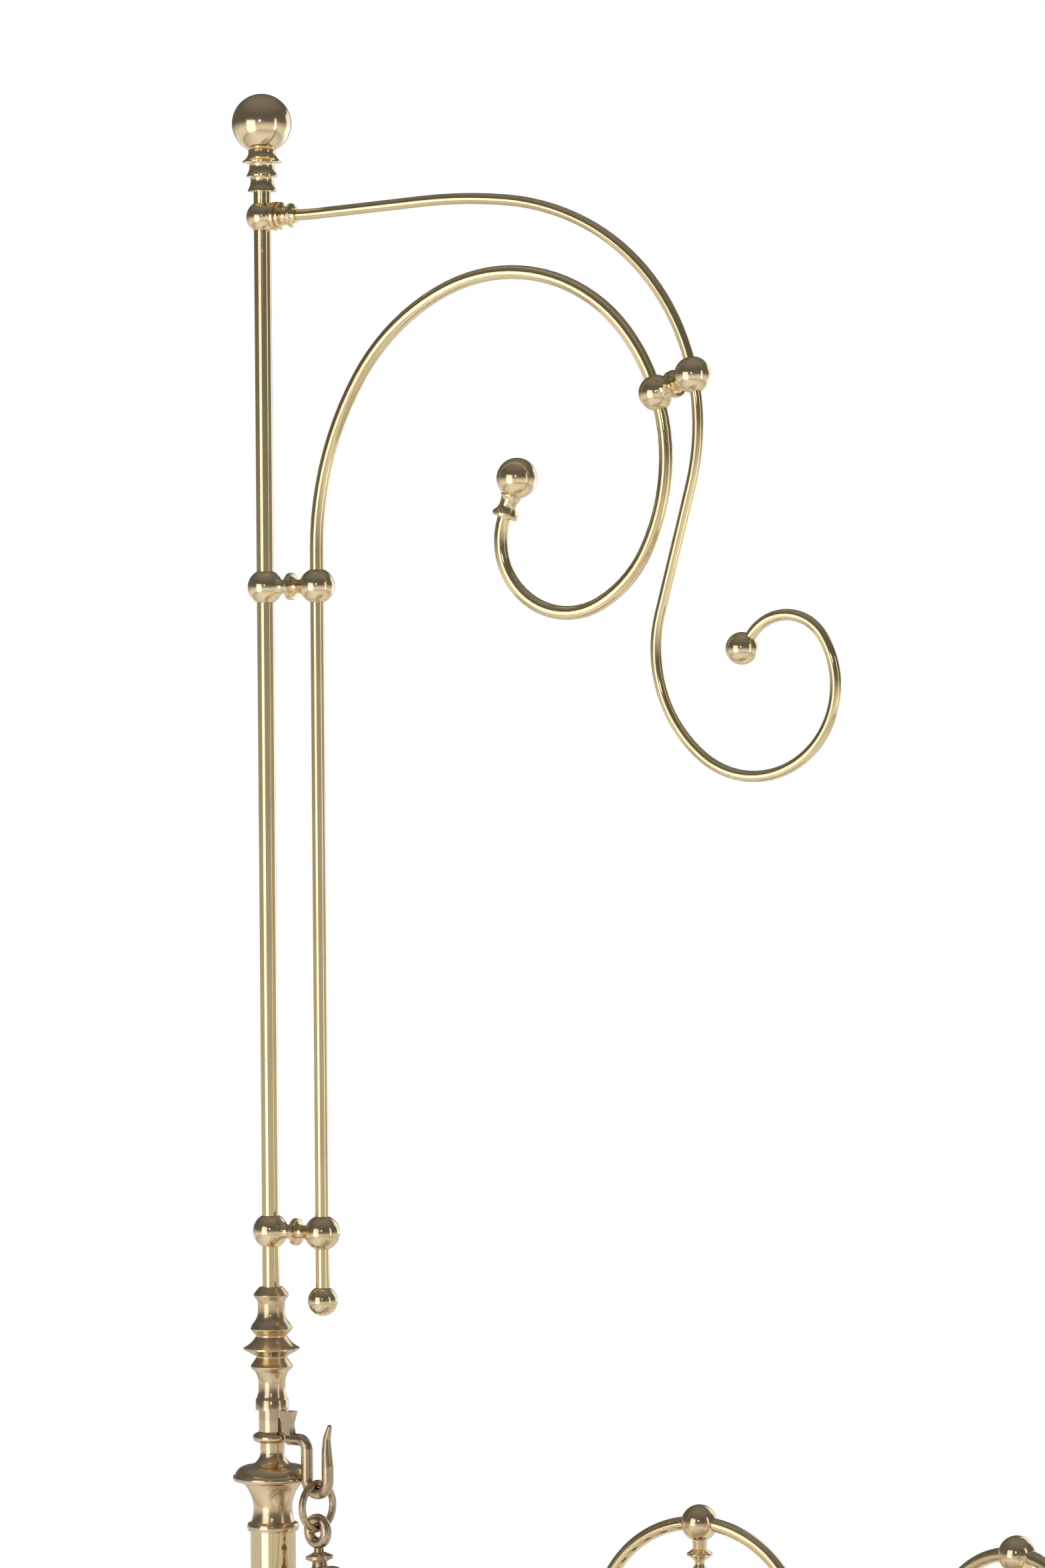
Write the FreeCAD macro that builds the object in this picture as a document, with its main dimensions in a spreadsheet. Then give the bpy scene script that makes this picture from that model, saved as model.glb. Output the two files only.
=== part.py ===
"""Swinging brass cradle with a canopy pole.

Two turned posts on arched feet carry a bow-sided tube basket, which hangs from a forged
hook, a split ring and a cast eye at each end. A swivelling pole over one post carries two
scrolled tubes that held the drapery. Millimetres, +Z up, origin on the floor midway
between the posts, +X away from the canopy pole.
"""
import FreeCAD, Part
import Sketcher
import math
import os

from FreeCAD import Placement, Rotation, Vector

UP = Vector(0, 0, 1)
AHEAD = Vector(1, 0, 0)
ACROSS = Vector(0, 1, 0)

doc = FreeCAD.newDocument("SwingingCradle")

# ---------------------------------------------------------------- driving dimensions

SIZES = {
    # whole cradle
    "post_spacing": 963.0,
    "fit_gap": 0.05,
    "seat_gap": 0.3,
    # posts
    "post_diameter": 42.0,
    "post_wall": 1.6,
    "post_foot_height": 150.0,
    "post_top_height": 820.0,
    "cap_flange_radius": 36.4,
    "cap_height": 102.5,
    "cap_spigot_radius": 11.4,
    "stud_radius": 7.5,
    "stud_length": 30.0,
    "base_radius": 33.0,
    "base_height": 92.0,
    "tie_rod_radius": 4.0,
    "tie_nut_width": 13.0,
    "tie_nut_height": 6.5,
    # arched feet and stretcher
    "leg_diameter": 22.0,
    "leg_wall": 2.0,
    "leg_height": 104.0,
    "leg_reach": 250.0,
    "leg_socket_depth": 9.0,
    "foot_radius": 24.0,
    "foot_height": 46.0,
    "stretcher_diameter": 25.4,
    "stretcher_wall": 1.5,
    "knop_radius": 27.0,
    "knop_length": 76.0,
    # hooks, rings and eyes
    "hook_collar_radius": 12.4,
    "hook_collar_height": 9.3,
    "hook_wire_diameter": 11.0,
    "hook_clearance": 1.1,
    "hook_bend_radius": 12.7,
    "hook_drop": 70.0,
    "hook_tip_radius": 2.2,
    "hook_tip_height": 50.0,
    "ring_wire_diameter": 6.8,
    "ring_diameter": 48.7,
    "eye_wire_radius": 5.2,
    "eye_bend_radius": 10.0,
    "eye_straight": 2.0,
    "eye_flange_radius": 12.6,
    "eye_ball_radius": 16.7,
    # canopy socket, pole and finials
    "socket_radius": 26.6,
    "socket_height": 113.6,
    "socket_floor": 30.0,
    "pole_diameter": 15.875,
    "pole_wall": 1.2,
    "pole_length": 1110.0,
    "swivel_gap": 0.06,
    "collar_radius": 18.1,
    "collar_height": 38.0,
    "finial_ball_radius": 27.5,
    "plain_finial_height": 92.0,
    "plain_finial_radius": 20.0,
    # scrolled tubes and their connectors
    "canopy_turn": 10.6,
    "arm_diameter": 10.2,
    "arm_turn": 1.4,
    "arm_drop": 35.5,
    "arm_collar_radius": 14.8,
    "arm_collar_length": 37.0,
    "arm_end_ball_radius": 14.6,
    "scroll_diameter": 12.7,
    "scroll_turn": 5.9,
    "scroll_foot_drop": 1037.0,
    "scroll_rise": 691.0,
    "scroll_end_ball_radius": 18.6,
    "scroll_finial_height": 56.0,
    "scroll_foot_ball_radius": 13.8,
    "tube_wall": 1.0,
    "connector_ball_radius": 16.4,
    "connector_pitch": 56.0,
    "connector_low_drop": 974.5,
    "connector_mid_drop": 378.0,
    "spool_disc_radius": 12.6,
    "spool_stud_radius": 3.0,
    "spool_stud_length": 6.0,
    # basket
    "rail_diameter": 12.7,
    "rail_drop": 111.2,
    "basket_depth": 282.0,
    "basket_end_gap": 48.5,
    "basket_width": 541.4,
    "side_bow_radius": 1118.0,
    "end_bow_radius": 900.0,
    "corner_radius": 70.0,
    "hoop_spacing": 360.0,
    "hoop_radius": 111.0,
    "hoop_ball_radius": 17.2,
    "hoop_spindle_radius": 8.0,
    "end_arch_rise": 60.0,
    "end_arch_width": 280.0,
    "end_arch_crown_radius": 480.0,
    "baluster_diameter": 6.35,
    "slat_width": 22.0,
    "slat_thickness": 3.0,
}
BALUSTER_COUNT = 40
SLAT_COUNT = 13

sheet = doc.addObject("Spreadsheet::Sheet", "Sizes")
for row, (name, value) in enumerate(SIZES.items(), start=1):
    sheet.set("A%d" % row, name)
    sheet.set("B%d" % row, str(value))
    sheet.setAlias("B%d" % row, name)
doc.recompute()


class Size:
    """A number together with the sheet expression that it comes from."""

    def __init__(self, value, text):
        self.value = float(value)
        self.text = text

    def __add__(self, other):
        other = as_size(other)
        return Size(self.value + other.value, "(%s + %s)" % (self.text, other.text))

    def __sub__(self, other):
        other = as_size(other)
        return Size(self.value - other.value, "(%s - %s)" % (self.text, other.text))

    def __mul__(self, other):
        other = as_size(other)
        return Size(self.value * other.value, "(%s * %s)" % (self.text, other.text))

    def __truediv__(self, other):
        other = as_size(other)
        return Size(self.value / other.value, "(%s / %s)" % (self.text, other.text))

    def __radd__(self, other):
        return as_size(other) + self

    def __rsub__(self, other):
        return as_size(other) - self

    def __rmul__(self, other):
        return as_size(other) * self

    def __neg__(self):
        return Size(-self.value, "(0 - %s)" % self.text)

    def root(self):
        return Size(math.sqrt(self.value), "sqrt(%s)" % self.text)


def as_size(number):
    """A plain number as a Size; a Size as it is."""
    if isinstance(number, Size):
        return number
    return Size(number, "(%s)" % repr(float(number)))


class Sheet:
    """The sheet's cells as attributes, each a Size."""

    def __getattr__(self, name):
        return Size(sheet.get(name), "Sizes.%s" % name)


cell = Sheet()
NODES = {}


def keep(name, item):
    """Name an object as a finished sub-part, which is written to its own file."""
    item.Label = name
    NODES[name] = item
    return item


def move(item, place, rotation=None):
    """Place an object at three Sizes, bound to the sheet, with an optional turn."""
    point = Vector(*[as_size(part).value for part in place])
    item.Placement = Placement(point, rotation or Rotation())
    for letter, part in zip("xyz", place):
        item.setExpression("Placement.Base.%s" % letter, as_size(part).text)
    return item


# ---------------------------------------------------------------- turned pieces


def arc_radius(start, finish, sag):
    """Radius of an arc from its two ends and the height of its bulge."""
    wide = finish[0] - start[0]
    tall = finish[1] - start[1]
    return (wide * wide + tall * tall) / (sag * 8.0) + sag / 2.0


def add_side(sketch, start, finish, sag):
    """One side of an outline; a positive sag bulges to the right of its direction.

    Returns the geometry's index, the numbers of its first and last point, and its radius.
    """
    first = Vector(start[0].value, start[1].value, 0)
    last = Vector(finish[0].value, finish[1].value, 0)
    if sag.value == 0:
        return sketch.addGeometry(Part.LineSegment(first, last), False), 1, 2, None
    along = last - first
    right = Vector(along.y, -along.x, 0).normalize()
    size = Size(abs(sag.value), sag.text if sag.value > 0 else (-sag).text)
    radius = arc_radius(start, finish, size)
    toward = right if sag.value > 0 else right * -1
    middle = (first + last) * 0.5 + toward * size.value
    centre = middle - toward * radius.value
    ends = (first, last) if sag.value > 0 else (last, first)
    angles = [math.atan2(end.y - centre.y, end.x - centre.x) for end in ends]
    if angles[1] <= angles[0]:
        angles[1] += 2 * math.pi
    circle = Part.Circle(centre, UP, radius.value)
    index = sketch.addGeometry(Part.ArcOfCircle(circle, angles[0], angles[1]), False)
    if sag.value > 0:
        return index, 1, 2, radius
    return index, 2, 1, radius


def turned(name, outline):
    """A piece turned about its own Z axis.

    outline is a closed list of (radius, height, sag of the side that follows).
    """
    body = doc.addObject("PartDesign::Body", name)
    sketch = body.newObject("Sketcher::SketchObject", name + "_outline")
    plane = [item for item in body.Origin.OriginFeatures if item.Role == "XZ_Plane"][0]
    sketch.AttachmentSupport = [(plane, "")]
    sketch.MapMode = "FlatFace"
    corners = [(as_size(radius), as_size(height)) for radius, height, sag in outline]
    sides = []
    for number, (radius, height, sag) in enumerate(outline):
        finish = corners[(number + 1) % len(corners)]
        sides.append(add_side(sketch, corners[number], finish, as_size(sag)))
    for number, (index, first, last, radius) in enumerate(sides):
        follower = sides[(number + 1) % len(sides)]
        sketch.addConstraint(Sketcher.Constraint("Coincident", index, last, follower[0], follower[1]))
    for number, (index, first, last, radius) in enumerate(sides):
        for kind, part in zip(("DistanceX", "DistanceY"), corners[number]):
            rule = sketch.addConstraint(Sketcher.Constraint(kind, -1, 1, index, first, part.value))
            sketch.setExpression("Constraints[%d]" % rule, part.text)
        if radius:
            rule = sketch.addConstraint(Sketcher.Constraint("Radius", index, radius.value))
            sketch.setExpression("Constraints[%d]" % rule, radius.text)
    spin = body.newObject("PartDesign::Revolution", name + "_turning")
    spin.Profile = sketch
    spin.ReferenceAxis = (sketch, ["V_Axis"])
    spin.Angle = 360.0
    sketch.Visibility = False
    return body


def moulding(radius, height, shares):
    """The outer side of an outline, from shares of a piece's radius and of its height."""
    return [(radius * share, height * rise, height * sag) for share, rise, sag in shares]


def ball(name, radius, bore):
    """A ball drilled right through along its axis."""
    half = (radius * radius - bore * bore).root()
    return turned(name, [(bore, -half, radius - bore), (bore, half, 0)])


def ball_on_stem(name, radius, bore, depth):
    """A ball with a blind hole up its axis, for the end of a tube."""
    half = (radius * radius - bore * bore).root()
    sag = radius - (radius * (radius - half) / 2.0).root()
    return turned(name, [(0, depth - half, 0), (bore, depth - half, 0), (bore, -half, sag), (0, radius, 0)])


def drilled(name, blank, tools):
    """A sub-part cut by round or flat tools, one after another."""
    for number, tool in enumerate(tools):
        cut = doc.addObject("Part::Cut", "%s_cut_%d" % (name, number))
        cut.Base = blank
        cut.Tool = tool
        blank = cut
    return blank


def rod(name, radius, length, place, rotation=None):
    """A plain round bar, also used as a drill."""
    bar = doc.addObject("Part::Cylinder", name)
    bar.setExpression("Radius", as_size(radius).text)
    bar.setExpression("Height", as_size(length).text)
    return move(bar, place, rotation)


def straight_tube(name, diameter, wall, length, place, rotation=None):
    """A length of drawn tube, turned up from its own base."""
    outer = diameter / 2.0
    tube = turned(name, [(outer - wall, 0, 0), (outer, 0, 0), (outer, length, 0), (outer - wall, length, 0)])
    return move(tube, place, rotation)


# ---------------------------------------------------------------- bent tubes


class Bend:
    """A path of straight runs and tangent arcs in one upright or level plane.

    Headings are degrees from the plane's forward direction towards its side direction, and
    a positive arc turns the same way.
    """

    def __init__(self, origin, forward, side, start=(0.0, 0.0), heading=0.0):
        self.origin = origin
        self.forward = forward
        self.side = side
        self.point = start
        self.heading = math.radians(heading)
        self.edges = []

    def place(self, point=None):
        """A point of the plane in space."""
        ahead, aside = point or self.point
        return self.origin + self.forward * ahead + self.side * aside

    def direction(self):
        """The path's direction in space where it has come to."""
        return self.forward * math.cos(self.heading) + self.side * math.sin(self.heading)

    def line(self, length):
        start = self.place()
        ahead = self.point[0] + length * math.cos(self.heading)
        aside = self.point[1] + length * math.sin(self.heading)
        self.point = (ahead, aside)
        self.edges.append(Part.LineSegment(start, self.place()).toShape())
        return self

    def arc(self, radius, degrees):
        start = self.place()
        turn = math.copysign(1.0, degrees)
        ahead = self.point[0] - turn * radius * math.sin(self.heading)
        aside = self.point[1] + turn * radius * math.cos(self.heading)

        def on_circle(share):
            angle = self.heading + math.radians(degrees) * share
            return (ahead + turn * radius * math.sin(angle), aside - turn * radius * math.cos(angle))

        middle = self.place(on_circle(0.5))
        self.point = on_circle(1.0)
        self.heading += math.radians(degrees)
        self.edges.append(Part.Arc(start, middle, self.place()).toShape())
        return self

    def wire(self):
        return Part.Wire(self.edges)

    def bar(self, radius):
        """A round bar along the whole path."""
        first = self.edges[0]
        start = first.valueAt(first.FirstParameter)
        along = first.tangentAt(first.FirstParameter)
        section = Part.Wire([Part.Circle(start, along, radius).toShape()])
        return self.wire().makePipeShell([section], True, False)

    def tube(self, radius, wall):
        return self.bar(radius).cut(self.bar(radius - wall))


def shaped(name, shape):
    """A sub-part whose shape is worked out here, not by a feature of the document."""
    item = doc.addObject("Part::Feature", name)
    item.Shape = shape
    item.Placement = Placement()
    return keep(name, item)


def facing(along, outward):
    """The turn that takes local +Z along one direction and local +X nearest to another."""
    along = Vector(along).normalize()
    third = along.cross(outward).normalize()
    return Rotation(third.cross(along), third, along, "ZXY")


def level(degrees):
    """The level direction that is so many degrees round from +X."""
    return Vector(math.cos(math.radians(degrees)), math.sin(math.radians(degrees)), 0)


# ---------------------------------------------------------------- posts and feet

ENDS = {"canopy_end": -1, "plain_end": 1}
SIDES = {"left": -1, "right": 1}
PLUG_LENGTH = 12.0
LEG_RISE = 20.0
gap = cell.fit_gap
post_radius = cell.post_diameter / 2.0
plug_radius = post_radius - cell.post_wall - gap
leg_radius = cell.leg_diameter / 2.0
leg_start = cell.base_radius * 0.8 - cell.leg_socket_depth
rod_hole = cell.tie_rod_radius + gap
stretcher_radius = cell.stretcher_diameter / 2.0
base_bottom = cell.post_foot_height - cell.base_height
cap_top = cell.post_top_height + cell.cap_height
collar_top = cap_top + cell.hook_collar_height + gap
nut_recess = cell.tie_nut_height + 2.0

CAP_OUTLINE = [
    (0.638, 0.0, 0.008), (0.638, 0.066, 0), (0.555, 0.08, -0.05), (0.75, 0.428, 0),
    (0.96, 0.448, 0.02), (0.96, 0.505, 0.012), (0.76, 0.578, 0), (0.7, 0.585, -0.05),
    (0.31, 0.735, 0), (0.31, 0.79, 0), (0.4, 0.8, 0.035), (0.4, 0.88, 0),
    (0.34, 0.895, 0), (0.34, 1.0, 0),
]
BASE_OUTLINE = [
    (0.9, 0.0, 0.03), (0.9, 0.14, 0), (0.8, 0.17, 0), (0.8, 0.72, 0),
    (0.93, 0.76, 0.03), (0.93, 0.88, 0), (0.72, 0.92, 0), (0.72, 1.0, 0),
]
FOOT_OUTLINE = [(0.55, 0.0, 0), (0.8, 0.06, 0.11), (0.76, 0.8, 0), (0.64, 0.84, 0), (0.64, 1.0, 0)]
KNOP_OUTLINE = [
    (0.6, 0.0, 0), (0.6, 0.05, 0), (0.54, 0.07, 0), (0.54, 0.16, 0), (0.62, 0.2, 0.02),
    (0.62, 0.26, 0), (0.56, 0.29, 0.15), (0.56, 0.71, 0), (0.62, 0.74, 0.02), (0.62, 0.8, 0),
    (0.54, 0.84, 0), (0.54, 0.93, 0), (0.6, 0.95, 0), (0.6, 1.0, 0),
]


def post(end, across):
    """A post: the tube, its cap with the stud on top, and the rod that ties it to its base."""
    length = cell.post_top_height - cell.post_foot_height
    place = (across, 0, cell.post_foot_height)
    tube = straight_tube("post_tube_" + end, cell.post_diameter, cell.post_wall, length, place)
    keep("post_tube_" + end, tube)

    hole_top = cell.base_radius
    outline = [(rod_hole, -PLUG_LENGTH, 0), (plug_radius, -PLUG_LENGTH, 0), (plug_radius, 0, 0)]
    outline += moulding(cell.cap_flange_radius, cell.cap_height, CAP_OUTLINE)
    stud_top = cell.cap_height + cell.stud_length
    outline += [(cell.stud_radius, cell.cap_height, 0), (cell.stud_radius, stud_top, 0), (0, stud_top, 0)]
    outline += [(0, hole_top, 0), (rod_hole, hole_top, 0)]
    cap = turned("post_cap_" + end, outline)
    keep("post_cap_" + end, move(cap, (across, 0, cell.post_top_height)))

    rod_bottom = base_bottom + 1.0
    rod_length = cell.post_top_height + hole_top - gap - rod_bottom
    tie = rod("tie_rod_" + end, cell.tie_rod_radius, rod_length, (across, 0, rod_bottom))
    keep("tie_rod_" + end, tie)


def post_base(end, across, inward):
    """The casting under a post, drilled for both legs, the stretcher and the tie rod."""
    outline = moulding(cell.base_radius, cell.base_height, BASE_OUTLINE)
    plug_top = cell.base_height + PLUG_LENGTH
    outline += [(plug_radius, cell.base_height, 0), (plug_radius, plug_top, 0), (rod_hole, plug_top, 0)]
    blank = turned("post_base_blank_" + end, [(rod_hole, 0, 0)] + outline)
    move(blank, (across, 0, base_bottom))
    drill_length = cell.base_radius
    recess_radius = cell.tie_nut_width * 0.75
    tools = [rod("nut_recess_" + end, recess_radius, nut_recess, (across, 0, base_bottom))]
    rise = math.radians(LEG_RISE)
    for side, sign in SIDES.items():
        hole = "leg_hole_%s_%s" % (end, side)
        turn = facing(ACROSS * sign * math.cos(rise) + UP * math.sin(rise), AHEAD)
        place = (across, leg_start * sign, cell.leg_height)
        tools.append(rod(hole, leg_radius + gap, drill_length, place, turn))
    place = (across + leg_start * inward, 0, cell.leg_height)
    turn = facing(AHEAD * inward, UP)
    tools.append(rod("stretcher_hole_" + end, stretcher_radius + gap, drill_length, place, turn))
    keep("post_base_" + end, drilled("post_base_" + end, blank, tools))


def leg_and_foot(name, across, sign):
    """An arched tube that rises from the base and turns down into a turned bun foot."""
    rise = math.radians(LEG_RISE)
    bend = (cell.leg_reach.value - leg_start.value) * 0.32
    run = (cell.leg_reach.value - leg_start.value - bend * (1.0 + math.sin(rise))) / math.cos(rise)
    start = (leg_start.value + gap.value, 0.0)
    path = Bend(Vector(across.value, 0, cell.leg_height.value), ACROSS * sign, UP, start, LEG_RISE)
    path.line(run)
    path.arc(bend, -90.0 - LEG_RISE)
    seat = cell.foot_height.value - PLUG_LENGTH + gap.value
    path.line(cell.leg_height.value + path.point[1] - seat)
    shaped("leg_" + name, path.tube(leg_radius.value, cell.leg_wall.value))

    outline = moulding(cell.foot_radius, cell.foot_height, FOOT_OUTLINE)
    hole = leg_radius + gap
    outline += [(hole, cell.foot_height, 0), (hole, cell.foot_height - PLUG_LENGTH, 0)]
    outline += [(0, cell.foot_height - PLUG_LENGTH, 0)]
    foot = turned("foot_" + name, [(0, 0, 0)] + outline)
    keep("foot_" + name, move(foot, (across, (cell.leg_reach + gap) * sign, 0)))


for end, sign in ENDS.items():
    across = cell.post_spacing / 2.0 * sign
    post(end, across)
    post_base(end, across, -sign)
    for side, turn in SIDES.items():
        leg_and_foot("%s_%s" % (end, side), across, turn)

reach = cell.post_spacing / 2.0 - leg_start - gap
place = (-reach, 0, cell.leg_height)
stretcher = straight_tube(
    "stretcher", cell.stretcher_diameter, cell.stretcher_wall, reach * 2.0, place, facing(AHEAD, UP)
)
keep("stretcher", stretcher)
outline = moulding(cell.knop_radius, cell.knop_length, KNOP_OUTLINE)
bore = stretcher_radius + gap
knop = turned("stretcher_knop", [(bore, 0, 0)] + outline + [(bore, cell.knop_length, 0)])
keep("stretcher_knop", move(knop, (-cell.knop_length / 2.0, 0, cell.leg_height), facing(AHEAD, UP)))

nuts = []
for end, sign in ENDS.items():
    across = cell.post_spacing.value / 2.0 * sign
    low = Vector(across, 0, base_bottom.value + nut_recess.value - cell.tie_nut_height.value)
    corner = cell.tie_nut_width.value / math.sqrt(3.0)
    points = [low + level(60.0 * number) * corner for number in range(7)]
    nut = Part.Face(Part.makePolygon(points)).extrude(UP * cell.tie_nut_height.value)
    nuts.append(nut.cut(Part.makeCylinder(rod_hole.value, cell.tie_nut_height.value, low)))
shaped("tie_nuts", Part.makeCompound(nuts))

# ---------------------------------------------------------------- hooks, rings, socket

hook_wire = cell.hook_wire_diameter.value / 2.0
ring_wire = cell.ring_wire_diameter.value / 2.0
ring_radius = cell.ring_diameter.value / 2.0 - ring_wire
hook_low = cap_top.value - cell.hook_drop.value
seat_gap = cell.seat_gap.value
hook_reach = cell.cap_flange_radius.value + hook_wire + cell.hook_clearance.value
hook_across = hook_reach + cell.hook_bend_radius.value
ring_centre = hook_low + 2.0 * hook_wire + seat_gap + ring_wire - ring_radius
eye_rest = ring_centre - ring_radius + ring_wire + seat_gap
eye_half = cell.eye_straight.value / 2.0
eye_centre = eye_rest - eye_half - (cell.eye_bend_radius.value - cell.eye_wire_radius.value)
ROOT_OUTLINE = [
    (0.0, 1.0), (1.0, 1.0), (0.78, 0.62), (0.86, 0.32), (1.0, 0.2), (0.72, 0.0), (0.52, 0.1), (0.4, 0.6),
]
ROOT_START = 8.0
ROOT_LENGTH = 20.5
ROOT_DROP = 22.0
ROOT_WIDTH = 8.0
HOOK_ELBOW_DROP = 16.5
SPLIT_WIDTH = 0.4
SPLIT_TURN = math.radians(20.0)
TIP_SHAPE = [(0.35, 0.2, -0.06), (0.35, 0.5, 0.02), (0.3, 1.0, 0.32)]


def hook(end, post_x, inward):
    """A forged hook: a flat collar round the stud, a wedge-shaped root and a tapered limb."""
    ahead = AHEAD * inward
    tall = cell.hook_collar_height.value
    collar_low = Vector(post_x, 0, cap_top.value + gap.value / 2.0)
    collar = Part.makeCylinder(cell.hook_collar_radius.value, tall, collar_low)
    corners = []
    for share, rise in ROOT_OUTLINE:
        outward = ahead * (ROOT_START + ROOT_LENGTH * share)
        corners.append(collar_low + outward + UP * ((ROOT_DROP + tall) * rise - ROOT_DROP))
    root = Part.Face(Part.makePolygon(corners + corners[:1])).extrude(ACROSS * ROOT_WIDTH)
    root.translate(ACROSS * ROOT_WIDTH * -0.5)

    bend = cell.hook_bend_radius.value
    elbow = (ROOT_LENGTH, cap_top.value - HOOK_ELBOW_DROP)
    path = Bend(Vector(post_x, 0, 0), ahead, UP, elbow, 0.0)
    path.line(hook_reach - bend * 0.7 - ROOT_LENGTH)
    path.arc(bend * 0.7, -90.0)
    path.line(path.point[1] - hook_low - hook_wire - bend)
    path.arc(bend, 180.0)
    path.line(bend)
    limb = path.place()
    pieces = [root, path.bar(hook_wire), Part.makeSphere(hook_wire, limb)]
    radius = hook_wire
    tip_length = cell.hook_tip_height.value - bend
    for share, taper, lean in TIP_SHAPE:
        along = (UP + ahead * lean).normalize()
        end_radius = radius + (cell.hook_tip_radius.value - radius) * taper
        pieces.append(Part.makeCone(radius, end_radius, tip_length * share, limb, along))
        limb = limb + along * (tip_length * share)
        radius = end_radius
        pieces.append(Part.makeSphere(radius, limb))
    solid = collar.multiFuse(pieces)
    bored = Part.makeCylinder(cell.stud_radius.value + gap.value, tall, collar_low)
    shaped("hook_" + end, solid.cut(bored).removeSplitter())


def ring(end, post_x, inward):
    """A split ring that hangs on the hook and carries the basket's eye."""
    centre = Vector(post_x + hook_across * inward, 0, ring_centre)
    toward_split = (ACROSS * -math.cos(SPLIT_TURN) + UP * -math.sin(SPLIT_TURN)).normalize()
    deep = ring_wire * 4.0
    slit = Part.makeBox(deep, SPLIT_WIDTH, deep, Vector(deep, SPLIT_WIDTH, deep) * -0.5)
    slit.Placement = Placement(centre + toward_split * ring_radius, facing(toward_split, AHEAD))
    shaped("ring_" + end, Part.makeTorus(ring_radius, ring_wire, centre, AHEAD).cut(slit))


for end, sign in ENDS.items():
    post_x = cell.post_spacing.value / 2.0 * sign
    hook(end, post_x, -sign)
    ring(end, post_x, -sign)

SOCKET_OUTLINE = [
    (0.575, 0.0, 0), (0.575, 0.08, 0), (0.53, 0.097, 0), (0.47, 0.15, 0), (0.47, 0.19, -0.01),
    (0.6, 0.316, 0), (0.72, 0.34, 0), (0.74, 0.355, 0), (0.71, 0.367, 0), (0.54, 0.425, 0),
    (0.54, 0.435, 0), (0.98, 0.492, 0), (0.98, 0.505, -0.01), (0.55, 0.596, 0), (0.55, 0.61, 0),
    (0.72, 0.65, 0), (0.74, 0.662, 0), (0.71, 0.675, 0), (0.66, 0.7, -0.012), (0.47, 0.81, 0),
    (0.47, 0.865, -0.004), (0.56, 0.912, 0), (0.6, 0.925, 0.004), (0.6, 0.945, 0), (0.54, 0.965, 0),
    (0.41, 1.0, 0),
]
PLAIN_OUTLINE = [
    (0.74, 0.0, 0), (0.74, 0.09, 0), (0.62, 0.1, 0), (0.5, 0.2, -0.02), (0.82, 0.36, 0),
    (0.9, 0.38, 0.01), (0.86, 0.42, 0), (0.5, 0.5, -0.02),
]
stud_hole = cell.stud_radius + gap
stud_hole_top = cell.stud_length - cell.hook_collar_height + gap
pole_radius = cell.pole_diameter / 2.0
pole_bore = pole_radius + cell.swivel_gap
socket_low = collar_top + gap
canopy_x = -cell.post_spacing / 2.0

outline = moulding(cell.socket_radius, cell.socket_height, SOCKET_OUTLINE)
outline += [(pole_bore, cell.socket_height, 0), (pole_bore, cell.socket_floor, 0), (0, cell.socket_floor, 0)]
outline += [(0, stud_hole_top, 0), (stud_hole, stud_hole_top, 0)]
socket = turned("canopy_socket", [(stud_hole, 0, 0)] + outline)
keep("canopy_socket", move(socket, (canopy_x, 0, socket_low)))

outline = moulding(cell.plain_finial_radius, cell.plain_finial_height, PLAIN_OUTLINE)
crown = cell.plain_finial_radius
seat = crown * 0.5
half = (crown * crown - seat * seat).root()
outline += [(seat, cell.plain_finial_height - crown - half, crown - (crown * (crown - half) / 2.0).root())]
outline += [(0, cell.plain_finial_height, 0), (0, stud_hole_top, 0), (stud_hole, stud_hole_top, 0)]
finial = turned("plain_finial", [(stud_hole, 0, 0)] + outline)
keep("plain_finial", move(finial, (-canopy_x, 0, socket_low)))

# ---------------------------------------------------------------- canopy pole

COLLAR_OUTLINE = [
    (0.73, 0.0, 0), (0.73, 0.035, -0.02), (0.585, 0.29, 0), (0.6, 0.33, 0), (0.79, 0.36, 0),
    (0.79, 0.395, -0.02), (0.64, 0.63, 0), (0.66, 0.67, 0), (1.0, 0.705, 0), (1.0, 0.735, -0.03),
    (0.69, 0.93, 0), (0.69, 1.0, 0),
]
ARM_COLLAR_OUTLINE = [
    (0.7, 0.32, 0), (0.88, 0.34, 0.01), (0.88, 0.46, 0), (0.74, 0.48, 0), (0.84, 0.5, 0.01),
    (0.84, 0.6, 0), (0.6, 0.63, -0.01), (0.54, 0.76, 0), (0.71, 0.8, 0.02), (0.71, 0.88, 0),
    (0.5, 0.92, 0), (0.46, 1.0, 0),
]
pole_low = socket_low + cell.socket_floor + gap
pole_high = pole_low + cell.pole_length
arm_level = pole_high - cell.arm_drop
scroll_foot_level = pole_high - cell.scroll_foot_drop
place = (canopy_x, 0, pole_low)
pole = straight_tube("canopy_pole", cell.pole_diameter, cell.pole_wall, cell.pole_length, place)
keep("canopy_pole", pole)

pole_hole = pole_radius + gap
collar_low = pole_high - PLUG_LENGTH
outline = moulding(cell.collar_radius, cell.collar_height, COLLAR_OUTLINE)
outline += [(0, cell.collar_height, 0), (0, PLUG_LENGTH + gap, 0), (pole_hole, PLUG_LENGTH + gap, 0)]
collar = turned("pole_finial_collar", [(pole_hole, 0, 0)] + outline)
keep("pole_finial_collar", move(collar, (canopy_x, 0, collar_low)))

crown = cell.finial_ball_radius
seat = cell.collar_radius * 0.66
half = (crown * crown - seat * seat).root()
sag = crown - (crown * (crown - half) / 2.0).root()
crown_ball = turned("pole_finial_ball", [(0, -half, 0), (seat, -half, sag), (0, crown, 0)])
keep("pole_finial_ball", move(crown_ball, (canopy_x, 0, collar_low + cell.collar_height + half)))

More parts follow.
